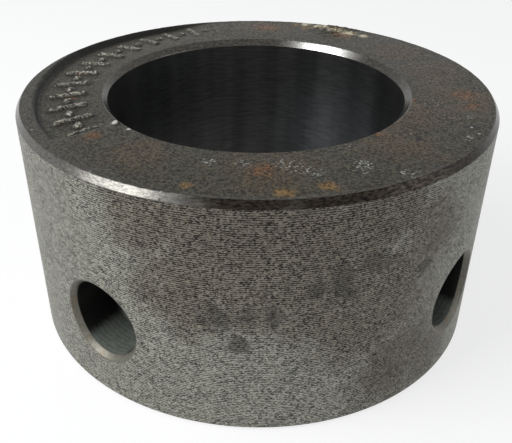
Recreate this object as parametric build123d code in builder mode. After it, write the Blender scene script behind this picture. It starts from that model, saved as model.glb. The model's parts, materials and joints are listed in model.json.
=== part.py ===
"""Taper bush: a forged steel ring, turned on its cone, bore and edges.

The frame stands on the small end: origin at the middle of that face, +Z up the bore
towards the large end. The first pin hole opens along +X. Sizes are in millimetres.
"""
import os
from math import cos, radians, sin, tan

from build123d import *

# Turned ring
bore_diameter = 50.0
gauge_diameter = 79.4  # across the large end, just under the rim chamfer
height = 39.2
taper = 1 / 16  # loss of diameter over a unit of length, towards the small end
rim_chamfer_width = 0.7
rim_chamfer_drop = 1.1
bore_chamfer = 1.1
foot_chamfer = 0.4

# Blind pin holes, drilled square to the bore and countersunk
pin_hole_count = 4
pin_hole_diameter = 12.5
pin_hole_depth = 8.0  # full diameter, measured from the cone
pin_hole_level = 13.7  # hole centre above the small end
pin_hole_countersink = 1.1
drill_point_angle = 118.0

# Panel pressed into the large end by the forging die, which sat off centre and leant,
# so that the panel is deepest on one side and runs out flush at both ends
panel_azimuth = 195.0  # direction of the deepest place
panel_depth = 1.3
panel_foot_radius = 37.4  # foot of the outer wall, from the die's axis
panel_wall_slope = 45.0
panel_floor_slope = 3.7  # rise of the floor towards the bore
panel_foot_fillet = 0.6
die_lean = 4.4
die_shift = 2.0
die_shift_azimuth = 64.0

# Raised index bars on the panel, with a round pip between each two of them
bar_count = 13
bar_pitch = 9.0
bar_length = 6.2
bar_width = 1.2
pip_diameter = 1.9
mark_radius = 33.4  # middle of the marks, from the die's axis
mark_rise = 0.55
first_bar_azimuth = 143.0


def cone_radius(level):
    """Radius of the turned cone at a height above the small end."""
    gauge_level = height - rim_chamfer_drop
    return gauge_diameter / 2 - (gauge_level - level) * taper / 2


# Drill with its point and countersink. It cuts downwards from its own level 0, which
# is set on the cone, and its shank runs out well past the ring.
pin_hole_radius = pin_hole_diameter / 2
drill_point = pin_hole_radius / tan(radians(drill_point_angle / 2))
shank_radius = pin_hole_radius + pin_hole_countersink
shank_length = pin_hole_depth
with BuildPart() as drill:
    with BuildSketch(Plane.XZ):
        with BuildLine():
            Polyline(
                (0, -pin_hole_depth - drill_point),
                (pin_hole_radius, -pin_hole_depth),
                (pin_hole_radius, -pin_hole_countersink),
                (shank_radius, 0),
                (shank_radius, shank_length),
                (0, shank_length),
                close=True,
            )
        make_face()
    revolve(axis=Axis.Z)

# Forging die of the panel: a disc whose underside rises towards its middle, with its
# lowest circle at its own level 0. Slots and dimples sunk in it leave the raised marks.
die_thickness = 4 * panel_depth
die_top_radius = panel_foot_radius + die_thickness / tan(radians(panel_wall_slope))
floor_rise = tan(radians(panel_floor_slope))
mark_level = (panel_foot_radius - mark_radius) * floor_rise
mark_seat = Location((0, 0, mark_level), (0, panel_floor_slope, 0))
bar_span = bar_pitch * (bar_count - 1)
with BuildPart() as die:
    with BuildSketch(Plane.XZ):
        with BuildLine():
            Polyline(
                (0, panel_foot_radius * floor_rise),
                (panel_foot_radius, 0),
                (die_top_radius, die_thickness),
                (0, die_thickness),
                close=True,
            )
        make_face()
    revolve(axis=Axis.Z)
    fillet(die.edges().filter_by(GeomType.CIRCLE).sort_by(Axis.Z)[0], panel_foot_fillet)
    with PolarLocations(mark_radius, bar_count, first_bar_azimuth, bar_span, endpoint=True):
        with Locations(mark_seat):
            Box(bar_length, bar_width, 2 * mark_rise, mode=Mode.SUBTRACT)
    first_pip_azimuth = first_bar_azimuth + bar_pitch / 2
    pip_span = bar_span - bar_pitch
    with PolarLocations(mark_radius, bar_count - 1, first_pip_azimuth, pip_span, endpoint=True):
        with Locations(mark_seat):
            Cylinder(pip_diameter / 2, 2 * mark_rise, mode=Mode.SUBTRACT)

# The die leans towards the deepest place, about a level line square to that direction
lean_line = (-sin(radians(panel_azimuth)), cos(radians(panel_azimuth)), 0)
die_middle = Vector(die_shift, 0, 0).rotate(Axis.Z, die_shift_azimuth)
die_level = height - panel_depth + panel_foot_radius * sin(radians(die_lean))
die_seat = Location((die_middle.X, die_middle.Y, die_level), lean_line, die_lean)

# The bush is one revolve, less the panel and the pin holes
bore_radius = bore_diameter / 2
gauge_level = height - rim_chamfer_drop
with BuildPart() as taper_bush:
    with BuildSketch(Plane.XZ):
        with BuildLine():
            Polyline(
                (bore_radius + bore_chamfer, 0),
                (cone_radius(0) - foot_chamfer, 0),
                (cone_radius(foot_chamfer), foot_chamfer),
                (cone_radius(gauge_level), gauge_level),
                (cone_radius(gauge_level) - rim_chamfer_width, height),
                (bore_radius + bore_chamfer, height),
                (bore_radius, height - bore_chamfer),
                (bore_radius, bore_chamfer),
                close=True,
            )
        make_face()
    revolve(axis=Axis.Z)
    with Locations(die_seat):
        add(die.part, mode=Mode.SUBTRACT)
    with PolarLocations(cone_radius(pin_hole_level), pin_hole_count):
        with Locations(Location((0, 0, pin_hole_level), (0, 90, 0))):
            add(drill.part, mode=Mode.SUBTRACT)

taper_bush.part.label = "taper_bush"
os.makedirs("parts", exist_ok=True)
export_step(taper_bush.part, "parts/taper_bush.step")
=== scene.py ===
"""Taper bush: a forged steel ring with a turned cone, bore and edges, and blind pin holes.

Places, levels, radii and reaches are in millimetres, here and inside the node trees, and so
is every name that ends in _mm. MM turns them into the metres of meshes, lamps and camera.
"""
import json
import math

import bpy
from mathutils import Matrix, Vector


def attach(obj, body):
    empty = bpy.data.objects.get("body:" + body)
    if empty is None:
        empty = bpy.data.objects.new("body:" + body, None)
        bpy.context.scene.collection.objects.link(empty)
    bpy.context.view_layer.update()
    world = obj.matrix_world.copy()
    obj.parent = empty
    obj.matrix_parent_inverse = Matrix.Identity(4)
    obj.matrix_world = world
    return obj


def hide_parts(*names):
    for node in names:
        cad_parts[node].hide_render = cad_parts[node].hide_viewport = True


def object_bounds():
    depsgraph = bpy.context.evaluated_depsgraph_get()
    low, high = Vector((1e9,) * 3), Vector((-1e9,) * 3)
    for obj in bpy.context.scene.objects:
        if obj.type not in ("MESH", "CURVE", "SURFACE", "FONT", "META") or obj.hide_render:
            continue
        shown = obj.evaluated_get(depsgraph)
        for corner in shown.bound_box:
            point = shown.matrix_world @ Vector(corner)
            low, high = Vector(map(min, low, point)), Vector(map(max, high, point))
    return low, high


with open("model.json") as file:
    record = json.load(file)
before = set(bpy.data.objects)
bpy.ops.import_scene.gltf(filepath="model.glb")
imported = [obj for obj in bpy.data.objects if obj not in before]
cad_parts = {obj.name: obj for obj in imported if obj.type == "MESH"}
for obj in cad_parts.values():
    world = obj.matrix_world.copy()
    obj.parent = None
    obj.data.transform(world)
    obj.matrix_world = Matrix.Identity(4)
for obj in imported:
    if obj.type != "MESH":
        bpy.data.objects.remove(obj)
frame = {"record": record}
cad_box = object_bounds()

MM = 0.001

# ---------------------------------------------------------------- sizes from the frame
mounts = {mount["name"]: mount for mount in frame["record"]["mounts"]}
foot, crown = cad_box
height_mm = (crown.z - foot.z) / MM
gauge_radius_mm = (crown.x - foot.x) / 2 / MM
bore_radius_mm = mounts["bore"]["dims"]["r_mm"]
bore_chamfer_mm = (height_mm - mounts["bore"]["dims"]["length_mm"]) / 2
pin_mount = mounts["pin_hole_east"]
pin_radius_mm = pin_mount["dims"]["r_mm"]
pin_level_mm = pin_mount["pos_m"][2] / MM
pin_wall_mm = pin_mount["dims"]["length_mm"]
pin_count = sum(name.startswith("pin_hole") for name in mounts)

taper = 1 / 16
rim_width_mm = 0.7
rim_drop_mm = 1.1
foot_chamfer_mm = 0.4
countersink_mm = 1.1
worn_sink_mm = 0.75  # the even width of the worn countersink round each pin hole
drill_point_angle = math.radians(118)
edge_break_mm = 0.06  # every turned or drilled corner is broken by this much

gauge_level_mm = height_mm - rim_drop_mm
rim_radius_mm = gauge_radius_mm - rim_width_mm
bore_mouth_mm = bore_radius_mm + bore_chamfer_mm


def cone_radius(level):
    """Radius of the turned cone at a level above the small end, in millimetres."""
    return gauge_radius_mm - (gauge_level_mm - level) * taper / 2


def on_bore(azimuth, level):
    """A place on the bore, from its azimuth in degrees and its level."""
    turn = math.radians(azimuth)
    return bore_radius_mm * math.cos(turn), bore_radius_mm * math.sin(turn), level


def on_crown(x, y):
    """A place on the large end."""
    return x, y, height_mm


# ---------------------------------------------------------------- node wiring
class Wire:
    """An output of a node. Sums and products of wires add Math nodes to their tree."""

    def __init__(self, graph, socket):
        self.graph = graph
        self.socket = socket

    def __add__(self, other):
        return self.graph.math("ADD", self, other)

    def __sub__(self, other):
        return self.graph.math("SUBTRACT", self, other)

    def __rsub__(self, other):
        return self.graph.math("SUBTRACT", other, self)

    def __mul__(self, other):
        return self.graph.math("MULTIPLY", self, other)

    def __truediv__(self, other):
        return self.graph.math("DIVIDE", self, other)

    def __neg__(self):
        return self.graph.math("MULTIPLY", self, -1)


class Graph:
    """Adds nodes to one tree, a material's, the world's or a geometry group's."""

    def __init__(self, tree):
        self.tree = tree

    def node(self, kind, settings=None, values=None, output=0):
        """A node of any kind: its settings first, then the values or wires of its sockets."""
        made = self.tree.nodes.new(kind)
        for name, setting in (settings or {}).items():
            setattr(made, name, setting)
        for key, value in (values or {}).items():
            if isinstance(value, Wire):
                self.tree.links.new(value.socket, made.inputs[key])
            else:
                made.inputs[key].default_value = value
        return Wire(self, made.outputs[output])

    def end(self, kind, result, key):
        """The tree's output node, with its result in one socket."""
        made = self.tree.nodes.new(kind)
        self.tree.links.new(result.socket, made.inputs[key])

    def math(self, operation, *values):
        return self.node("ShaderNodeMath", {"operation": operation}, dict(enumerate(values)))

    def vector(self, operation, *values, output=0):
        settings = {"operation": operation}
        return self.node("ShaderNodeVectorMath", settings, dict(enumerate(values)), output)

    def place(self):
        """The object's own coordinates, in millimetres."""
        if self.tree.bl_idname == "GeometryNodeTree":
            spot = self.node("GeometryNodeInputPosition")
        else:
            spot = self.node("ShaderNodeTexCoord", output="Object")
        return self.vector("MULTIPLY", spot, (1 / MM,) * 3)

    def from_axis(self, place):
        """Distance of a place from the bore's axis."""
        flat = self.vector("MULTIPLY", place, (1, 1, 0))
        return self.vector("LENGTH", flat, output="Value")

    def split(self, vector):
        parts = self.node("ShaderNodeSeparateXYZ", None, {0: vector})
        return [Wire(self, output) for output in parts.socket.node.outputs]

    def smooth(self, value, low, high, start=0.0, end=1.0):
        """Runs smoothly from start to end while value goes from low to high."""
        values = {0: value, 1: low, 2: high, 3: start, 4: end}
        return self.node("ShaderNodeMapRange", {"interpolation_type": "SMOOTHSTEP"}, values)

    def noise(self, vector, grain, detail=2.0, roughness=0.5, distortion=0.0):
        """Noise about 0.5, with grains of the given size."""
        values = {"Vector": vector, "Scale": 1 / grain, "Detail": detail}
        values.update({"Roughness": roughness, "Distortion": distortion})
        return self.node("ShaderNodeTexNoise", None, values)

    def cells(self, vector, grain):
        """Distance from the nearest of scattered points, in grains."""
        return self.node("ShaderNodeTexVoronoi", None, {"Vector": vector, "Scale": 1 / grain})

    def blend(self, factor, first, second, mode="MIX"):
        """One colour over another. Sockets 6 and 7 are the node's two colours."""
        settings = {"data_type": "RGBA", "blend_type": mode}
        return self.node("ShaderNodeMix", settings, {0: factor, 6: first, 7: second}, output=2)

    def near(self, place, centre, reach, core=0.0):
        """1 inside core millimetres of a point, falling to 0 at reach."""
        distance = self.vector("DISTANCE", place, tuple(centre), output="Value")
        return self.smooth(distance, reach, core)


def paint(red, green, blue):
    """A colour from its display values, 0 to 255, as the shaders take it."""
    def linear(value):
        part = value / 255
        return part / 12.92 if part <= 0.04045 else ((part + 0.055) / 1.055) ** 2.4

    return linear(red), linear(green), linear(blue), 1.0


# ---------------------------------------------------------------- the turned and drilled ring
# the finishes, one for each way a surface was made
SIDE, EDGE, FACE, BORE, HOLE, END, SINK = range(7)
side_columns = 120  # on a quarter of the ring; the large end has twice as many
face_rows = 50
bore_rows = 9
end_rows = 4
rows_below_window = 4
rows_above_window = 14
window_columns = 19  # either side of a pin hole, where the rings round it meet the side's grid
window_pitch_mm = 0.75
window_rows = 26
# where the rings of the pin hole's mesh lie, as shares of the way across each surface
window_rings = (0.8, 0.6, 0.43, 0.29, 0.18, 0.09, 0.02)
countersink_rings = (0.08, 0.3, 0.55, 0.8, 0.95)
wall_rings = (0.02, 0.14, 0.28, 0.42, 0.56, 0.7, 0.84, 0.97)
point_rings = (0.02, 0.25, 0.5, 0.75, 0.93)
# and the rows within the two chamfers of the large end
rim_rows = (0.3, 0.55, 0.8)
mouth_rows = (0.35, 0.7)
window_low_mm = pin_level_mm - window_rows * window_pitch_mm / 2
quarter = math.tau / pin_count


class Shell:
    """Gathers vertices, in millimetres, and faces, each with the number of its finish."""

    def __init__(self):
        self.points = []
        self.faces = []
        self.finishes = []

    def row(self, points):
        start = len(self.points)
        self.points.extend(points)
        return list(range(start, len(self.points)))

    def arc(self, radius, level, columns):
        """A row across one quarter, at a radius and level."""
        turns = [quarter * (column / columns - 0.5) for column in range(columns + 1)]
        places = [(radius * math.cos(turn), radius * math.sin(turn), level) for turn in turns]
        return self.row(places)

    def strip(self, lower, upper, finish, skipped=()):
        """Faces between two rows, of which one may have twice the columns of the other."""
        count = min(len(lower), len(upper)) - 1
        low_step = (len(lower) - 1) // count
        high_step = (len(upper) - 1) // count
        for column in range(count):
            if column in skipped:
                continue
            near = lower[column * low_step:(column + 1) * low_step + 1]
            far = upper[column * high_step:(column + 1) * high_step + 1]
            self.faces.append(near + far[::-1])
            self.finishes.append(finish)

    def mesh(self, name):
        mesh = bpy.data.meshes.new(name)
        mesh.from_pydata([Vector(point) * MM for point in self.points], [], self.faces)
        finish = mesh.attributes.new("finish", "INT", "FACE")
        finish.data.foreach_set("value", self.finishes)
        return mesh


def even(start, end, count):
    """Levels or radii evenly spaced after start, up to end."""
    return [start + (end - start) * step / count for step in range(1, count + 1)]


def on_cone(turn, level):
    """The place on the turned cone at an angle round the ring and a level."""
    radius = cone_radius(level)
    return radius * math.cos(turn), radius * math.sin(turn), level


def countersink_edge(angle):
    """Where the countersink of the pin hole at +X meets the cone, as (turn, level)."""
    reach = pin_radius_mm + worn_sink_mm
    level = pin_level_mm + reach * math.sin(angle)
    return math.asin(reach * math.cos(angle) / cone_radius(level)), level


def add_pin_hole(shell, window):
    """Rings from the window's edge in to the hole, down its countersink and wall, to its point."""
    seat = cone_radius(pin_level_mm)
    corners = [shell.points[index] for index in window]
    outer = [(math.atan2(y, x), level) for x, y, level in corners]
    angles = [math.atan2(level - pin_level_mm, turn * seat) for turn, level in outer]
    inner = [countersink_edge(angle) for angle in angles]
    edges = [on_cone(*place)[0] for place in inner]
    last = window + window[:1]

    def ring(points, finish):
        nonlocal last
        made = shell.row(points)
        shell.strip(last, made + made[:1], finish)
        last = made + made[:1]

    for share in window_rings:
        places = [
            (near[0] + (far[0] - near[0]) * share, near[1] + (far[1] - near[1]) * share)
            for near, far in zip(inner, outer)
        ]
        ring([on_cone(*place) for place in places], SIDE)

    def bored(radius, stations):
        """A ring of a radius in the hole, each of its points at its own station along the hole."""
        return [
            (x, radius * math.cos(angle), pin_level_mm + radius * math.sin(angle))
            for x, angle in zip(stations, angles)
        ]

    # the countersink follows the cone's surface, rounded at its lip and its foot
    for drop in countersink_rings:
        reach = pin_radius_mm + worn_sink_mm * (1 - drop)
        depth = worn_sink_mm * (drop + 0.25 * drop ** 6) - 0.03
        ring(bored(reach, [x - depth for x in edges]), SINK)
    wall_end = seat - countersink_mm - pin_wall_mm
    starts = [x - worn_sink_mm * 1.35 for x in edges]
    for share in wall_rings:
        ring(bored(pin_radius_mm, [x + (wall_end - x) * share for x in starts]), HOLE)
    point = pin_radius_mm / math.tan(drill_point_angle / 2)
    for share in point_rings:
        ring(bored(pin_radius_mm * (1 - share), [wall_end - point * share] * len(angles)), HOLE)
    tip = shell.row([(wall_end - point, 0, pin_level_mm)])
    for start, end in zip(last, last[1:]):
        shell.faces.append([start, end, tip[0]])
        shell.finishes.append(HOLE)


def quarter_mesh():
    """One quarter of the ring, with the pin hole at +X in the middle of it."""
    shell = Shell()
    edge = edge_break_mm
    fine = 2 * side_columns
    middle = side_columns // 2
    skipped = range(middle - window_columns, middle + window_columns)

    first = shell.arc(cone_radius(0) - foot_chamfer_mm, 0, side_columns)
    last = shell.arc(cone_radius(foot_chamfer_mm), foot_chamfer_mm, side_columns)
    shell.strip(first, last, EDGE)

    # the side, upwards, open where the pin hole's window is
    window_high = window_low_mm + window_rows * window_pitch_mm
    levels = [foot_chamfer_mm + 0.15]
    levels += even(levels[-1], window_low_mm, rows_below_window)
    window_start = len(levels) - 1
    levels += even(window_low_mm, window_high, window_rows)
    levels += even(window_high, gauge_level_mm - 0.3, rows_above_window)
    levels += [gauge_level_mm - edge]
    rows = []
    for level in levels:
        rows.append(shell.arc(cone_radius(level), level, side_columns))
    for place, (low, high) in enumerate(zip([last] + rows, rows)):
        open_row = window_start < place <= window_start + window_rows
        shell.strip(low, high, SIDE, skipped if open_row else ())
    left = middle - window_columns
    right = middle + window_columns
    inside = rows[window_start:window_start + window_rows + 1]
    window = [row[right] for row in inside]
    window += inside[-1][left:right][::-1]
    window += [row[left] for row in inside[-2::-1]]
    window += inside[0][left + 1:right]
    add_pin_hole(shell, window)

    # the rim chamfer, then the large end inwards, then the bore down and the small end outwards
    last = rows[-1]
    rim_slope = math.hypot(rim_width_mm, rim_drop_mm)
    across = edge * rim_width_mm / rim_slope
    drop = edge * rim_drop_mm / rim_slope
    stations = [(gauge_radius_mm - across, gauge_level_mm + drop, fine, EDGE)]
    for share in rim_rows:
        radius = gauge_radius_mm - rim_width_mm * share
        stations.append((radius, gauge_level_mm + rim_drop_mm * share, fine, EDGE))
    stations.append((rim_radius_mm + across, height_mm - drop, fine, EDGE))
    stations.append((rim_radius_mm - edge, height_mm, fine, EDGE))
    for radius in even(rim_radius_mm - edge, bore_mouth_mm + edge, face_rows):
        stations.append((radius, height_mm, fine, FACE))
    stations.append((bore_mouth_mm - edge, height_mm - edge, fine, EDGE))
    for share in mouth_rows:
        step = bore_chamfer_mm * share
        stations.append((bore_mouth_mm - step, height_mm - step, fine, EDGE))
    low = height_mm - bore_chamfer_mm
    stations.append((bore_radius_mm + edge, low + edge, fine, EDGE))
    stations.append((bore_radius_mm, low - edge, side_columns, EDGE))
    for level in even(low - edge, bore_chamfer_mm + edge, bore_rows):
        stations.append((bore_radius_mm, level, side_columns, BORE))
    stations.append((bore_radius_mm + edge, bore_chamfer_mm - edge, side_columns, EDGE))
    stations.append((bore_mouth_mm - edge, edge, side_columns, EDGE))
    stations.append((bore_mouth_mm + edge, 0, side_columns, EDGE))
    for radius in even(bore_mouth_mm + edge, cone_radius(0) - foot_chamfer_mm - 0.2, end_rows):
        stations.append((radius, 0, side_columns, END))
    for radius, level, columns, finish in stations:
        made = shell.arc(radius, level, columns)
        shell.strip(last, made, finish)
        last = made
    shell.strip(last, first, END)
    return shell.mesh("bush_quarter")


# ---------------------------------------------------------------- the forged large end
def add_input(tree, name, kind, value=None):
    socket = tree.interface.new_socket(name, in_out="INPUT", socket_type=kind)
    if value is not None:
        socket.default_value = value


# the tree's inputs: lengths in millimetres, angles in radians, slopes as rise over run
forging = {
    "Panel depth": 1.25,
    "Foot radius": 42.5,
    "Wall slope": 1.8,
    "Floor slope": math.tan(math.radians(5.6)),
    "Die shift": 6.4,
    "Die shift azimuth": math.radians(60),
    "Panel azimuth": math.radians(200),
    "First end": math.radians(44),
    "Last end": math.radians(51.5),
    "Mark shift": 2.0,
    "Mark shift azimuth": math.radians(64),
    "Bar pitch": math.radians(9),
    "Bar count": 13,
    "First bar azimuth": math.radians(143),
    "Bar length": 6.2,
    "Bar width": 0.8,
    "Pip diameter": 1.3,
    "Mark radius": 33.4,
    "Mark rise": 0.6,
    "Swell height": 0.16,
    "Lump height": 0.12,
    "Sand height": 0.08,
    "Bruise height": 1.6,
    "Burr height": 0.4,
    "Seed": 7,
}


def forged_ring_tree(finishes):
    """Turns the quarter round the bore, then sinks the panel and its marks in the large end."""
    tree = bpy.data.node_groups.new("forged_ring", "GeometryNodeTree")
    add_input(tree, "Quarter", "NodeSocketGeometry")
    add_input(tree, "Pin holes", "NodeSocketInt", pin_count)
    for name, value in forging.items():
        kind = "NodeSocketInt" if isinstance(value, int) else "NodeSocketFloat"
        add_input(tree, name, kind, value)
    tree.interface.new_socket("Bush", in_out="OUTPUT", socket_type="NodeSocketGeometry")
    graph = Graph(tree)
    group_in = tree.nodes.new("NodeGroupInput")
    given = {output.name: Wire(graph, output) for output in group_in.outputs if output.name}

    # the quarters, one for each pin hole
    index = graph.node("GeometryNodeInputIndex")
    turn = index * math.tau / given["Pin holes"]
    spin = graph.node("ShaderNodeCombineXYZ", None, {2: turn})
    values = {"Count": given["Pin holes"], "Offset": (0, 0, 0)}
    line = graph.node("GeometryNodeMeshLine", None, values)
    values = {"Points": line, "Instance": given["Quarter"], "Rotation": spin}
    ring = graph.node("GeometryNodeInstanceOnPoints", None, values)
    ring = graph.node("GeometryNodeRealizeInstances", None, {0: ring})
    values = {"Geometry": ring, "Distance": 0.002 * MM}
    ring = graph.node("GeometryNodeMergeByDistance", None, values)

    # the panel, seen from the die's own axis
    place = graph.place()
    x, y, level = graph.split(place)
    radius = graph.from_axis(place)

    def seen_from(shift, azimuth):
        """Distance and angle, from the panel's middle, about an axis beside the bore's."""
        off_x = x - given[shift] * graph.math("COSINE", given[azimuth])
        off_y = y - given[shift] * graph.math("SINE", given[azimuth])
        facing = given["Panel azimuth"]
        along = off_x * graph.math("COSINE", facing) + off_y * graph.math("SINE", facing)
        beside = off_y * graph.math("COSINE", facing) - off_x * graph.math("SINE", facing)
        distance = graph.math("SQRT", along * along + beside * beside)
        return distance, graph.math("ARCTAN2", beside, along)

    reach, angle = seen_from("Die shift", "Die shift azimuth")
    foot_radius = given["Foot radius"]
    wave = graph.noise(place, 3.0, detail=3) - 0.5
    floor = (foot_radius - reach) * given["Floor slope"] - given["Panel depth"]
    wall = (reach - foot_radius + wave * 0.4) * given["Wall slope"] - given["Panel depth"]
    rim_foot = rim_radius_mm - given["Panel depth"] / given["Wall slope"] - 0.1
    rim_wall = (radius - rim_foot) * given["Wall slope"] - given["Panel depth"]
    wall = graph.math("MAXIMUM", wall, rim_wall)
    panel = graph.math("SMOOTH_MIN", graph.math("SMOOTH_MAX", floor, wall, 0.35), 0, 0.2)
    first_end = -given["First end"]
    last_end = given["Last end"]
    begun = graph.smooth(angle + wave * 0.05, first_end - 0.2, first_end + 0.16)
    ended = graph.smooth(angle + wave * 0.04, last_end - 0.075, last_end + 0.035, 1, 0)
    pressed = graph.math("MAXIMUM", begun * ended, 0.1)
    panel = panel * pressed

    # raised bars on the panel, and a pip between each two of them
    mark_reach, mark_angle = seen_from("Mark shift", "Mark shift azimuth")
    step = (mark_angle + given["Panel azimuth"] - given["First bar azimuth"]) / given["Bar pitch"]
    highest = given["Bar count"] - 1

    def from_nearest(position, last_one):
        """Distance round the ring from the nearest of the marks numbered 0 to last_one."""
        nearest = graph.math("MAXIMUM", graph.math("ROUND", position), 0)
        nearest = graph.math("MINIMUM", nearest, last_one)
        return (position - nearest) * given["Bar pitch"] * mark_reach

    out = mark_reach - given["Mark radius"]
    bar_side = graph.math("ABSOLUTE", from_nearest(step, highest)) - given["Bar width"] / 2
    bar_end = graph.math("ABSOLUTE", out) - given["Bar length"] / 2
    bar = graph.math("SMOOTH_MAX", bar_side, bar_end, 0.6)
    pip_side = from_nearest(step - 0.5, highest - 1)
    pip = graph.math("SQRT", pip_side * pip_side + out * out) - given["Pip diameter"] / 2
    ragged = (graph.noise(place, 0.8, detail=3) - 0.5) * 0.6
    mark = graph.smooth(graph.math("MINIMUM", bar, pip) + ragged, 0.3, -0.3)
    broken = graph.smooth(graph.noise(place, 0.7, detail=1), 0.3, 0.62, 0.55, 1.0)
    marked = panel + mark * broken * given["Mark rise"] * pressed
    sunk = graph.math("SMOOTH_MIN", marked, 0.05, 0.25)

    # the scale and sand of the forging
    seed = graph.node("ShaderNodeCombineXYZ", None, {2: given["Seed"]})
    seeded = graph.vector("ADD", place, seed)
    swell = (graph.noise(seeded, 9.0, detail=1) - 0.5) * given["Swell height"]
    lumps = graph.noise(seeded, 1.7, detail=3, roughness=0.6) - 0.5
    lumps = lumps * given["Lump height"]
    sand = (graph.noise(seeded, 0.55, detail=1) - 0.5) * given["Sand height"]
    bruise = graph.near(place, on_crown(-6.0, 36.0), 7.0, 1.5)
    bruised = bruise * (graph.noise(seeded, 1.3, detail=2) - 0.42) * given["Bruise height"]
    burr = graph.near(place, on_crown(-7.6, -25.2), 1.3, 0.2) * given["Burr height"]
    rough = swell + lumps + sand + bruised + burr

    # how much of this reaches a vertex: all on the large end, less down the two chamfers
    share = graph.math("MAXIMUM", (level - gauge_level_mm) / rim_drop_mm, 0)
    sink = (sunk + rough - 0.05) * share
    outer = graph.math("GREATER_THAN", radius, rim_radius_mm - 2 * edge_break_mm)
    inner = graph.math("LESS_THAN", radius, bore_mouth_mm + 2 * edge_break_mm)
    slide = sink * inner - sink * outer * (rim_width_mm / rim_drop_mm)
    outward = graph.vector("NORMALIZE", graph.vector("MULTIPLY", place, (1, 1, 0)))
    slid = graph.node("ShaderNodeVectorMath", {"operation": "SCALE"}, {0: outward, 3: slide * MM})
    dropped = graph.node("ShaderNodeCombineXYZ", None, {2: sink * MM})
    values = {"Geometry": ring, "Offset": graph.vector("ADD", slid, dropped)}
    ring = graph.node("GeometryNodeSetPosition", None, values)

    # painted shade under the wall and round the marks, and a painted sheen on the raised marks
    beyond = graph.math("MAXIMUM", reach - foot_radius, radius - rim_foot)
    wall_reach = given["Panel depth"] / given["Wall slope"]
    under_wall = graph.smooth(beyond, -0.7, -0.1) * graph.smooth(beyond - wall_reach, 0.3, -0.1)
    land = graph.smooth(beyond - wall_reach, -0.1, 0.25)
    beside_marks = graph.smooth(graph.math("MINIMUM", bar, pip), 0.9, 0.3) * (1 - mark)
    grime = graph.math("MAXIMUM", under_wall * pressed, beside_marks * pressed * 0.8)
    for name, value in (("grime", grime), ("worn", mark * broken * pressed), ("land", land)):
        values = {"Geometry": ring, "Name": name, "Value": value}
        ring = graph.node("GeometryNodeStoreNamedAttribute", {"data_type": "FLOAT"}, values)

    finish = graph.node("GeometryNodeInputNamedAttribute", {"data_type": "INT"}, {"Name": "finish"})
    for number, material in enumerate(finishes):
        chosen = graph.math("COMPARE", finish, number, 0.1)
        values = {"Geometry": ring, "Selection": chosen, "Material": material}
        ring = graph.node("GeometryNodeSetMaterial", None, values)
    graph.end("NodeGroupOutput", ring, "Bush")
    return tree


def plain_mesh(source, name):
    """What a piece's modifiers make of it, as a new piece with a plain mesh."""
    graph = bpy.context.evaluated_depsgraph_get()
    mesh = bpy.data.meshes.new_from_object(source.evaluated_get(graph))
    made = bpy.data.objects.new(name, mesh)
    bpy.context.scene.collection.objects.link(made)
    bpy.data.objects.remove(source)
    return made


def crisp_edges(mesh, forged_slot, turn=math.radians(16)):
    """Smooth shading, broken at the machined edges but not within the forged face."""
    mesh.shade_smooth()
    sides = {}
    for polygon in mesh.polygons:
        for key in polygon.edge_keys:
            sides.setdefault(key, []).append(polygon)
    sharp = []
    for edge in mesh.edges:
        first, second = sides[edge.key]
        forged = first.material_index == second.material_index == forged_slot
        sharp.append(not forged and first.normal.angle(second.normal) > turn)
    attribute = mesh.attributes.new("sharp_edge", "BOOLEAN", "EDGE")
    attribute.data.foreach_set("value", sharp)


# ---------------------------------------------------------------- finishes
def new_material(name):
    material = bpy.data.materials.new(name)
    material.use_nodes = True
    material.node_tree.nodes.clear()
    return material, Graph(material.node_tree)


def finish_surface(graph, colour, roughness, metallic, height, depth, gloss=0.5, glance=1.0):
    """The shader of one finish, with the bump that height makes over a depth in millimetres.

    gloss and glance dim its reflections, glance most of all the metal's at a grazing angle.
    """
    values = {"Strength": 1.0, "Distance": depth * MM, "Height": height}
    bump = graph.node("ShaderNodeBump", None, values)
    values = {"Base Color": colour, "Roughness": roughness, "Metallic": metallic, "Normal": bump}
    values["Specular IOR Level"] = gloss
    values["Specular Tint"] = (glance, glance, glance, 1)
    shader = graph.node("ShaderNodeBsdfPrincipled", None, values)
    graph.end("ShaderNodeOutputMaterial", shader, "Surface")


def stored(graph, name):
    """A value kept on the mesh by the tree of the forged ring."""
    return graph.node("ShaderNodeAttribute", {"attribute_name": name}, output=2)


def side_spots(*spots):
    """Spots on the turned side, each from its azimuth in degrees, its level and its reach."""
    return [(on_cone(math.radians(azimuth), level), reach) for azimuth, level, reach in spots]


def face_spots(*spots):
    """Spots on the large end, each from its x, y and reach."""
    return [(on_crown(x, y), reach) for x, y, reach in spots]


def patches(graph, place, spots, ragged):
    """1 inside the spots, each (centre, reach), with edges broken by a ragged noise."""
    mask = None
    for centre, reach in spots:
        distance = graph.vector("DISTANCE", place, tuple(centre), output="Value") / reach
        spot = graph.smooth(distance + ragged, 1.0, 0.35)
        mask = spot if mask is None else graph.math("MAXIMUM", mask, spot)
    return mask


tool_feed_mm = 0.34  # from one turning line to the next
# patches where the side is darker, over its front and right
DARKER_SIDE = side_spots(
    (303, 30, 17), (318, 27, 16), (333, 24, 14), (344, 30, 10), (293, 24, 10), (338, 8, 10),
    (327, 17, 10), (285, 36, 9), (297, 37, 13), (312, 37, 13), (330, 36, 12), (350, 5, 7),
)
OILY_SIDE = side_spots(
    (292, 37, 8), (304, 36, 10), (318, 36, 10), (332, 35, 9), (336, 5, 9), (346, 10, 6),
)
SIDE_SMUDGES = side_spots(
    (322.3, 27.3, 2.6), (323.7, 24.6, 3.2), (329.6, 28.2, 2.2), (331.6, 27.3, 2.0),
    (298.2, 20.4, 3.0), (310.0, 21.1, 2.4), (343.3, 24.4, 1.8), (302.8, 15.9, 2.2),
    (318.0, 25.6, 2.4), (304.0, 21.0, 2.0),
)


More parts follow.
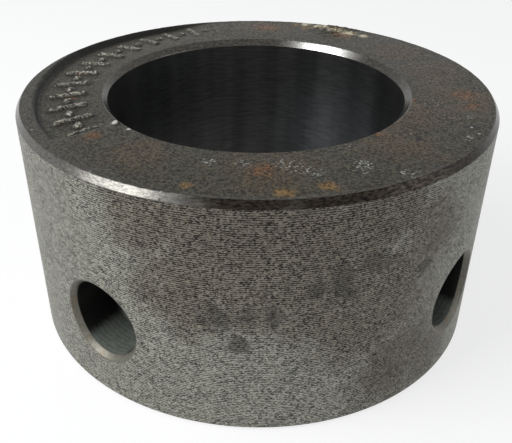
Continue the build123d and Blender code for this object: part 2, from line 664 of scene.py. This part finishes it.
def turned_side():
    """Fine broken turning lines, darker in patches over the front and right, oil-brown towards the
    rim, with darker smudges.
    """
    material, graph = new_material("turned_side")
    place = graph.place()
    level = graph.split(place)[2]
    flattened = graph.vector("MULTIPLY", place, (0.8, 0.8, 2.2))
    dashes = graph.noise(flattened, 0.3, detail=2, roughness=0.6)
    coarse = graph.noise(graph.vector("MULTIPLY", place, (1, 1, 2)), 1.1, detail=3)
    feed = graph.math("SINE", level * (math.tau / tool_feed_mm) + coarse * 3.0)
    lines = dashes + feed * 0.08 + (coarse - 0.5) * 0.3
    clouds = graph.noise(place, 7.0, detail=5, roughness=0.62)
    ragged = (clouds - 0.5) * 1.6
    tone = graph.smooth(lines, 0.39, 0.61)
    plain_tone = graph.blend(tone, paint(50, 50, 45), paint(158, 157, 146))
    # a darker version of the turning lines, for those patches
    darker_tone = graph.blend(tone, paint(12, 10, 8), paint(126, 120, 109))
    darker_patch = patches(graph, place, DARKER_SIDE, ragged)
    colour = graph.blend(darker_patch, plain_tone, darker_tone)
    frayed = (graph.noise(place, 2.2, detail=3) - 0.5) * 2.0
    stains = patches(graph, place, SIDE_SMUDGES, frayed)
    stained = graph.blend(tone, paint(30, 28, 25), paint(84, 81, 75))
    colour = graph.blend(stains * 0.75, colour, stained)
    oily = patches(graph, place, OILY_SIDE, ragged)
    soaked = graph.blend(tone, paint(10, 8, 6), paint(84, 76, 66))
    colour = graph.blend(oily * 0.2, colour, soaked)
    roughness = graph.smooth(clouds, 0.3, 0.7, 0.4, 0.55)
    finish_surface(graph, colour, roughness, 0.5, lines, 0.01, gloss=0.4, glance=0.7)
    return material


# painted shade: stretches of the rim chamfer darkened, for the dark room it mirrors at the front
# and the panel wall's shadow at the back
PAINTED_RIM_SHADE = side_spots(*[(azimuth, gauge_level_mm, reach) for azimuth, reach in (
    (304, 10), (320, 15), (338, 15), (355, 15), (8, 13),
    (95, 16), (115, 17), (135, 17), (155, 17), (175, 15), (192, 11),
)])


def machined_edge():
    """Chamfers and broken corners, cut bright, with painted shade on two stretches of the rim."""
    material, graph = new_material("machined_edge")
    place = graph.place()
    grain = graph.noise(graph.vector("MULTIPLY", place, (1, 1, 3)), 0.7, detail=3)
    specks = graph.smooth(graph.noise(place, 0.45, detail=2), 0.62, 0.72)
    clouds = graph.noise(place, 3.0, detail=4)
    bright = graph.blend(graph.smooth(grain, 0.3, 0.7), paint(80, 79, 75), paint(104, 102, 98))
    dark_edge_tone = graph.blend(graph.smooth(grain, 0.35, 0.65), paint(18, 15, 13), paint(52, 46, 40))
    # painted shade on the rim stretches listed above
    painted_rim_shade = patches(graph, place, PAINTED_RIM_SHADE, (clouds - 0.5) * 1.2)
    radius = graph.from_axis(place)
    # painted highlight: the mouth chamfer lightened at the back, where the window lamp glints, and
    # spared the darkening elsewhere
    painted_highlight = graph.near(place, on_crown(-1.5, bore_mouth_mm), 11.0, 2.0)
    dulled = graph.smooth(radius, bore_mouth_mm + 2, bore_mouth_mm + 1, 0, 0.6) * (1 - painted_highlight)
    bright = graph.blend(painted_highlight, bright, paint(170, 170, 168))
    colour = graph.blend(graph.math("MAXIMUM", painted_rim_shade, dulled), bright, dark_edge_tone)
    colour = graph.blend(specks * 0.6, colour, paint(20, 19, 18))
    finish_surface(graph, colour, 0.24, 0.9, grain, 0.01)
    return material


RUST = face_spots(
    (30.3, 16.8, 2.6), (24.3, 9.6, 1.2), (26.0, -5.0, 1.2), (19.0, -24.8, 2.4),
    (33.0, 13.0, 1.8), (-2.0, 33.8, 2.6), (-18.0, 29.0, 3.0), (-30.0, -12.5, 1.6),
    (-22.0, -22.0, 1.4), (-7.0, -31.0, 1.8),
)
OCHRE = face_spots(
    (24.7, -27.9, 1.6), (28.2, -23.0, 1.9), (13.6, -33.7, 1.0), (-10.5, 33.6, 1.6),
    (-14.0, 34.6, 1.6),
)
RUST_HAZE = face_spots(
    (31.0, 15.0, 8.0), (27.5, 5.0, 8.0), (31.0, -7.0, 7.0), (22.0, 25.0, 8.0), (12.0, 31.0, 7.0),
    (20.0, -25.0, 8.0), (3.0, -31.0, 6.0), (-18.0, 30.0, 6.0),
)
CRUST = face_spots(
    (28.0, 10.5, 3.6), (31.5, 5.5, 3.4), (30.6, -3.2, 1.8), (24.5, -12.0, 2.4), (27.5, -17.0, 2.4),
)
FLAKES = face_spots(
    (21.3, -21.6, 2.2), (24.4, -21.5, 2.0), (29.1, -15.4, 2.0), (34.9, -13.9, 1.6),
    (37.0, 1.5, 1.2), (16.0, -25.0, 1.6), (12.0, -27.0, 1.4), (34.0, 8.5, 1.0),
)
SMOOTH_SCALE = face_spots(
    (20.0, 26.0, 13.0), (6.0, 32.0, 11.0), (32.0, 14.0, 8.0), (-12.0, 30.0, 9.0),
)
PITS = face_spots((35.9, 5.1, 1.3), (31.3, -3.2, 0.8))
BURRS = face_spots(
    (-7.6, -25.7, 0.7), (-4.4, -26.0, 0.5), (-9.6, -25.4, 0.4), (35.9, 5.1, 0.3), (37.6, 3.6, 0.3),
)
BACK_FLAKES = face_spots(
    (-8.9, 36.4, 2.4), (-5.2, 36.2, 2.4), (-1.6, 35.4, 2.2), (-12.5, 36.2, 1.8), (1.5, 35.8, 1.4),
)


def forged_face():
    """Sandy forged scale, with rust and ochre patches, bright flakes, a painted sheen on the marks
    and painted shade in the corners.
    """
    material, graph = new_material("forged_face")
    place = graph.place()
    sand = graph.noise(place, 0.36, detail=2, roughness=0.7)
    hue = graph.noise(place, 1.1, detail=4, roughness=0.75)
    clouds = graph.noise(place, 6.0, detail=4, roughness=0.6)
    ragged = (graph.noise(place, 1.6, detail=4, roughness=0.75) - 0.5) * 3.0
    soft = (clouds - 0.5) * 2.0
    grit = graph.smooth(sand, 0.36, 0.64)
    smoothed = graph.blend(grit, paint(34, 33, 28), paint(62, 60, 53))
    scale = graph.blend(grit, paint(8, 7, 5), paint(64, 61, 49))
    scale = graph.blend(patches(graph, place, SMOOTH_SCALE, soft), scale, smoothed)
    scale = graph.blend(graph.smooth(hue, 0.5, 0.66) * 0.5, scale, paint(50, 40, 23))
    scale = graph.blend(graph.smooth(hue, 0.46, 0.34) * 0.45, scale, paint(36, 42, 34))
    haze = patches(graph, place, RUST_HAZE, soft)
    browned = graph.blend(grit, paint(28, 22, 14), paint(84, 66, 43))
    scale = graph.blend(haze * 0.55, scale, browned)
    specks = graph.smooth(graph.cells(place, 0.45), 0.5, 0.15)
    crust = patches(graph, place, CRUST, ragged)
    crusty = graph.blend(specks, paint(20, 17, 10), paint(118, 112, 90))
    scale = graph.blend(crust * 0.7, scale, crusty)
    rusty = graph.blend(grit, paint(40, 24, 11), paint(122, 78, 38))
    scale = graph.blend(patches(graph, place, RUST, ragged) * 0.6, scale, rusty)
    sandy = graph.blend(grit, paint(52, 38, 17), paint(134, 102, 52))
    scale = graph.blend(patches(graph, place, OCHRE, ragged) * 0.7, scale, sandy)
    flakes = patches(graph, place, FLAKES, ragged)
    scale = graph.blend(flakes * specks, scale, paint(150, 152, 146))
    scale = graph.blend(patches(graph, place, PITS, soft * 0.3), scale, paint(10, 8, 7))
    cream = graph.blend(graph.smooth(hue, 0.42, 0.6), paint(92, 74, 48), paint(196, 188, 164))
    scale = graph.blend(patches(graph, place, BACK_FLAKES, ragged * 0.5), scale, cream)
    # painted sheen: the raised marks lightened with a speckled light colour
    sparkle = graph.blend(graph.smooth(sand, 0.42, 0.62), paint(46, 44, 38), paint(190, 186, 172))
    scale = graph.blend(stored(graph, "worn") * 0.75, scale, sparkle)
    scale = graph.blend(stored(graph, "land") * 0.85, scale, smoothed)
    nicks = graph.smooth(graph.noise(place, 0.8, detail=2), 0.7, 0.76) * stored(graph, "land")
    scale = graph.blend(nicks, scale, paint(150, 150, 142))
    burrs = patches(graph, place, BURRS, soft * 0.3)
    scale = graph.blend(burrs * 0.8, scale, paint(190, 190, 184))
    # painted shade: near black under the panel wall and beside the marks
    scale = graph.blend(stored(graph, "grime") * 0.92, scale, paint(7, 7, 6))
    roughness = graph.smooth(sand, 0.3, 0.7, 0.62, 0.42)
    finish_surface(graph, scale, roughness, 0.3, sand, 0.06, gloss=0.25)
    return material


def bored_wall():
    """The bore, with fine circular tool marks, upright streaks of painted reflection and painted
    light at the back right.
    """
    material, graph = new_material("bored_wall")
    place = graph.place()
    lines = graph.noise(graph.vector("MULTIPLY", place, (1, 1, 12)), 3.0, detail=3)
    streaks = graph.noise(graph.vector("MULTIPLY", place, (1, 1, 0.06)), 5.0, detail=2)
    tone = graph.smooth(lines, 0.3, 0.7)
    colour = graph.blend(tone, paint(54, 55, 54), paint(68, 70, 69))
    # painted light: the bore lighter towards the back right, where it mirrors the lamps
    lighter = graph.near(place, on_bore(78, 20), 20.0, 3.0)
    painted_light_tone = graph.blend(tone, paint(80, 83, 86), paint(98, 101, 104))
    colour = graph.blend(lighter, colour, painted_light_tone)
    # painted reflection: upright light streaks down the bore
    worn = graph.smooth(streaks, 0.35, 0.68)
    bands = graph.blend(worn, paint(205, 205, 205), paint(255, 255, 252))
    colour = graph.blend(1.0, colour, bands, "MULTIPLY")
    finish_surface(graph, colour, 0.46, 0.9, lines, 0.003)
    return material


def drilled_wall():
    """Pin holes, faintly ringed by the drill's lip, and painted dark as shade except along the
    bottom.
    """
    material, graph = new_material("drilled_wall")
    place = graph.place()
    x, y, level = graph.split(place)
    depth = graph.math("MAXIMUM", graph.math("ABSOLUTE", x), graph.math("ABSOLUTE", y))
    grain = graph.noise(place, 0.7, detail=3)
    rings = graph.math("SINE", depth * 8.0 + grain * 9.0) * 0.5 + 0.5
    cut = graph.blend(rings * 0.3 + grain * 0.7, paint(84, 90, 84), paint(146, 152, 143))
    # painted shade: the upper part of each hole near black, where the hole's own rim shades it
    painted_hole_shade = graph.smooth(level + (grain - 0.5) * 0.8, pin_level_mm - 5.6, pin_level_mm - 4.4)
    colour = graph.blend(painted_hole_shade * 0.95, cut, paint(20, 19, 18))
    finish_surface(graph, colour, 0.36, 0.5, rings, 0.006)
    return material


def worn_countersink():
    """The countersinks, rubbed smooth by pins, a little browned."""
    material, graph = new_material("worn_countersink")
    place = graph.place()
    grain = graph.noise(place, 0.5, detail=3)
    clouds = graph.noise(place, 2.5, detail=3)
    colour = graph.blend(grain, paint(64, 62, 55), paint(112, 109, 98))
    colour = graph.blend(graph.smooth(clouds, 0.52, 0.66) * 0.5, colour, paint(96, 80, 62))
    finish_surface(graph, colour, 0.42, 0.5, grain, 0.02)
    return material


def faced_end():
    """The small end, faced in the lathe."""
    material, graph = new_material("faced_end")
    place = graph.place()
    radius = graph.from_axis(place)
    grain = graph.noise(place, 0.8, detail=3)
    rings = graph.math("SINE", radius * 16.0 + grain * 3.0) * 0.5 + 0.5
    colour = graph.blend(rings * 0.5 + grain * 0.5, paint(92, 90, 84), paint(132, 130, 124))
    finish_surface(graph, colour, 0.4, 0.6, rings, 0.01)
    return material


# ---------------------------------------------------------------- the bush
def add_bush():
    """The bush, from one quarter that the tree turns round the bore and forges."""
    # in the order of the finishes' numbers, SIDE to SINK
    finishes = [
        turned_side(), machined_edge(), forged_face(), bored_wall(),
        drilled_wall(), faced_end(), worn_countersink(),
    ]
    source = bpy.data.objects.new("bush_quarter", quarter_mesh())
    bpy.context.scene.collection.objects.link(source)
    tree = forged_ring_tree(finishes)
    modifier = source.modifiers.new("forged_ring", "NODES")
    modifier.node_group = tree
    for item in tree.interface.items_tree:
        if item.name in forging:
            modifier[item.identifier] = forging[item.name]
    bush = plain_mesh(source, "bush")
    crisp_edges(bush.data, bush.data.materials.find("forged_face"))
    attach(bush, "root")
    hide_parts("taper_bush")
    return bush


# ---------------------------------------------------------------- floor, light and camera
def seen_plainly(graph):
    """1 for the rays that see a background: straight on, mirrored or through glass."""
    path = graph.tree.nodes.new("ShaderNodeLightPath")
    kinds = ("Is Camera Ray", "Is Glossy Ray", "Is Transmission Ray")
    seen = [Wire(graph, path.outputs[kind]) for kind in kinds]
    return graph.math("MINIMUM", seen[0] + seen[1] + seen[2], 1)


def add_floor():
    """A pale floor that keeps the bush's shadow and fades into the white behind it."""
    mesh = bpy.data.meshes.new("floor")
    half = 1.6
    level = -0.05 * MM  # clear of the small end, which stands at zero
    corners = [(x * half, y * half, level) for x, y in ((-1, -1), (1, -1), (1, 1), (-1, 1))]
    mesh.from_pydata(corners, [], [(0, 1, 2, 3)])
    floor = bpy.data.objects.new("floor", mesh)
    bpy.context.scene.collection.objects.link(floor)
    material, graph = new_material("pale_floor")
    lit = graph.node("ShaderNodeBsdfDiffuse", None, {"Color": (0.94, 0.94, 0.94, 1)})
    glow = graph.node("ShaderNodeEmission", None, {"Color": (1, 1, 1, 1), "Strength": 1.0})
    share = seen_plainly(graph) * 0.75
    both = graph.node("ShaderNodeMixShader", None, {0: share, 1: lit, 2: glow})
    graph.end("ShaderNodeOutputMaterial", both, "Surface")
    mesh.materials.append(material)


def add_world():
    """A dim cool room that lights the bush, and plain white wherever the background shows."""
    world = bpy.data.worlds.new("studio")
    world.use_nodes = True
    world.node_tree.nodes.clear()
    graph = Graph(world.node_tree)
    values = {"Color": (0.9, 0.95, 1.0, 1), "Strength": 0.3}
    room = graph.node("ShaderNodeBackground", None, values)
    values = {"Color": (1, 1, 1, 1), "Strength": 1.0}
    white = graph.node("ShaderNodeBackground", None, values)
    both = graph.node("ShaderNodeMixShader", None, {0: seen_plainly(graph), 1: room, 2: white})
    graph.end("ShaderNodeOutputWorld", both, "Surface")
    bpy.context.scene.world = world


def add_lamp(name, azimuth, elevation, distance, size, watts, colour):
    """A square softbox aimed at the bush, from an azimuth and elevation in degrees."""
    lamp = bpy.data.lights.new(name, "AREA")
    lamp.shape = "SQUARE"
    lamp.size = size
    lamp.energy = watts
    lamp.color = colour
    holder = bpy.data.objects.new(name, lamp)
    turn, rise = math.radians(azimuth), math.radians(elevation)
    flat = math.cos(rise)
    away = Vector((math.cos(turn) * flat, math.sin(turn) * flat, math.sin(rise)))
    middle = Vector((0, 0, height_mm / 2 * MM))
    holder.location = middle + away * distance
    holder.rotation_mode = "QUATERNION"
    holder.rotation_quaternion = (-away).to_track_quat("-Z", "Y")
    bpy.context.scene.collection.objects.link(holder)


def add_camera():
    camera = bpy.data.objects.new("camera", bpy.data.cameras.new("camera"))
    camera.data.lens = 50.6
    camera.data.shift_x = 0.0517
    camera.data.shift_y = -0.1355
    camera.data.clip_start = 0.01
    camera.location = Vector((67.0, -93.7, 83.36)) * MM
    aim = Vector((-3.5, -2.71, 26.36)) * MM
    roll = Matrix.Rotation(math.radians(-0.295), 3, "Z").to_quaternion()
    camera.rotation_mode = "QUATERNION"
    camera.rotation_quaternion = (aim - camera.location).to_track_quat("-Z", "Y") @ roll
    bpy.context.scene.collection.objects.link(camera)
    bpy.context.scene.camera = camera


bpy.context.scene.view_settings.view_transform = "Standard"
add_world()
add_floor()
add_bush()
add_lamp("key", 243, 36, 0.5, 0.26, 2.15, (1, 1, 1))
add_lamp("window", 219, 59, 0.5, 0.15, 0.55, (0.96, 0.98, 1))
add_lamp("fill", 20, 20, 0.6, 0.3, 0.5, (0.92, 0.96, 1))
add_camera()
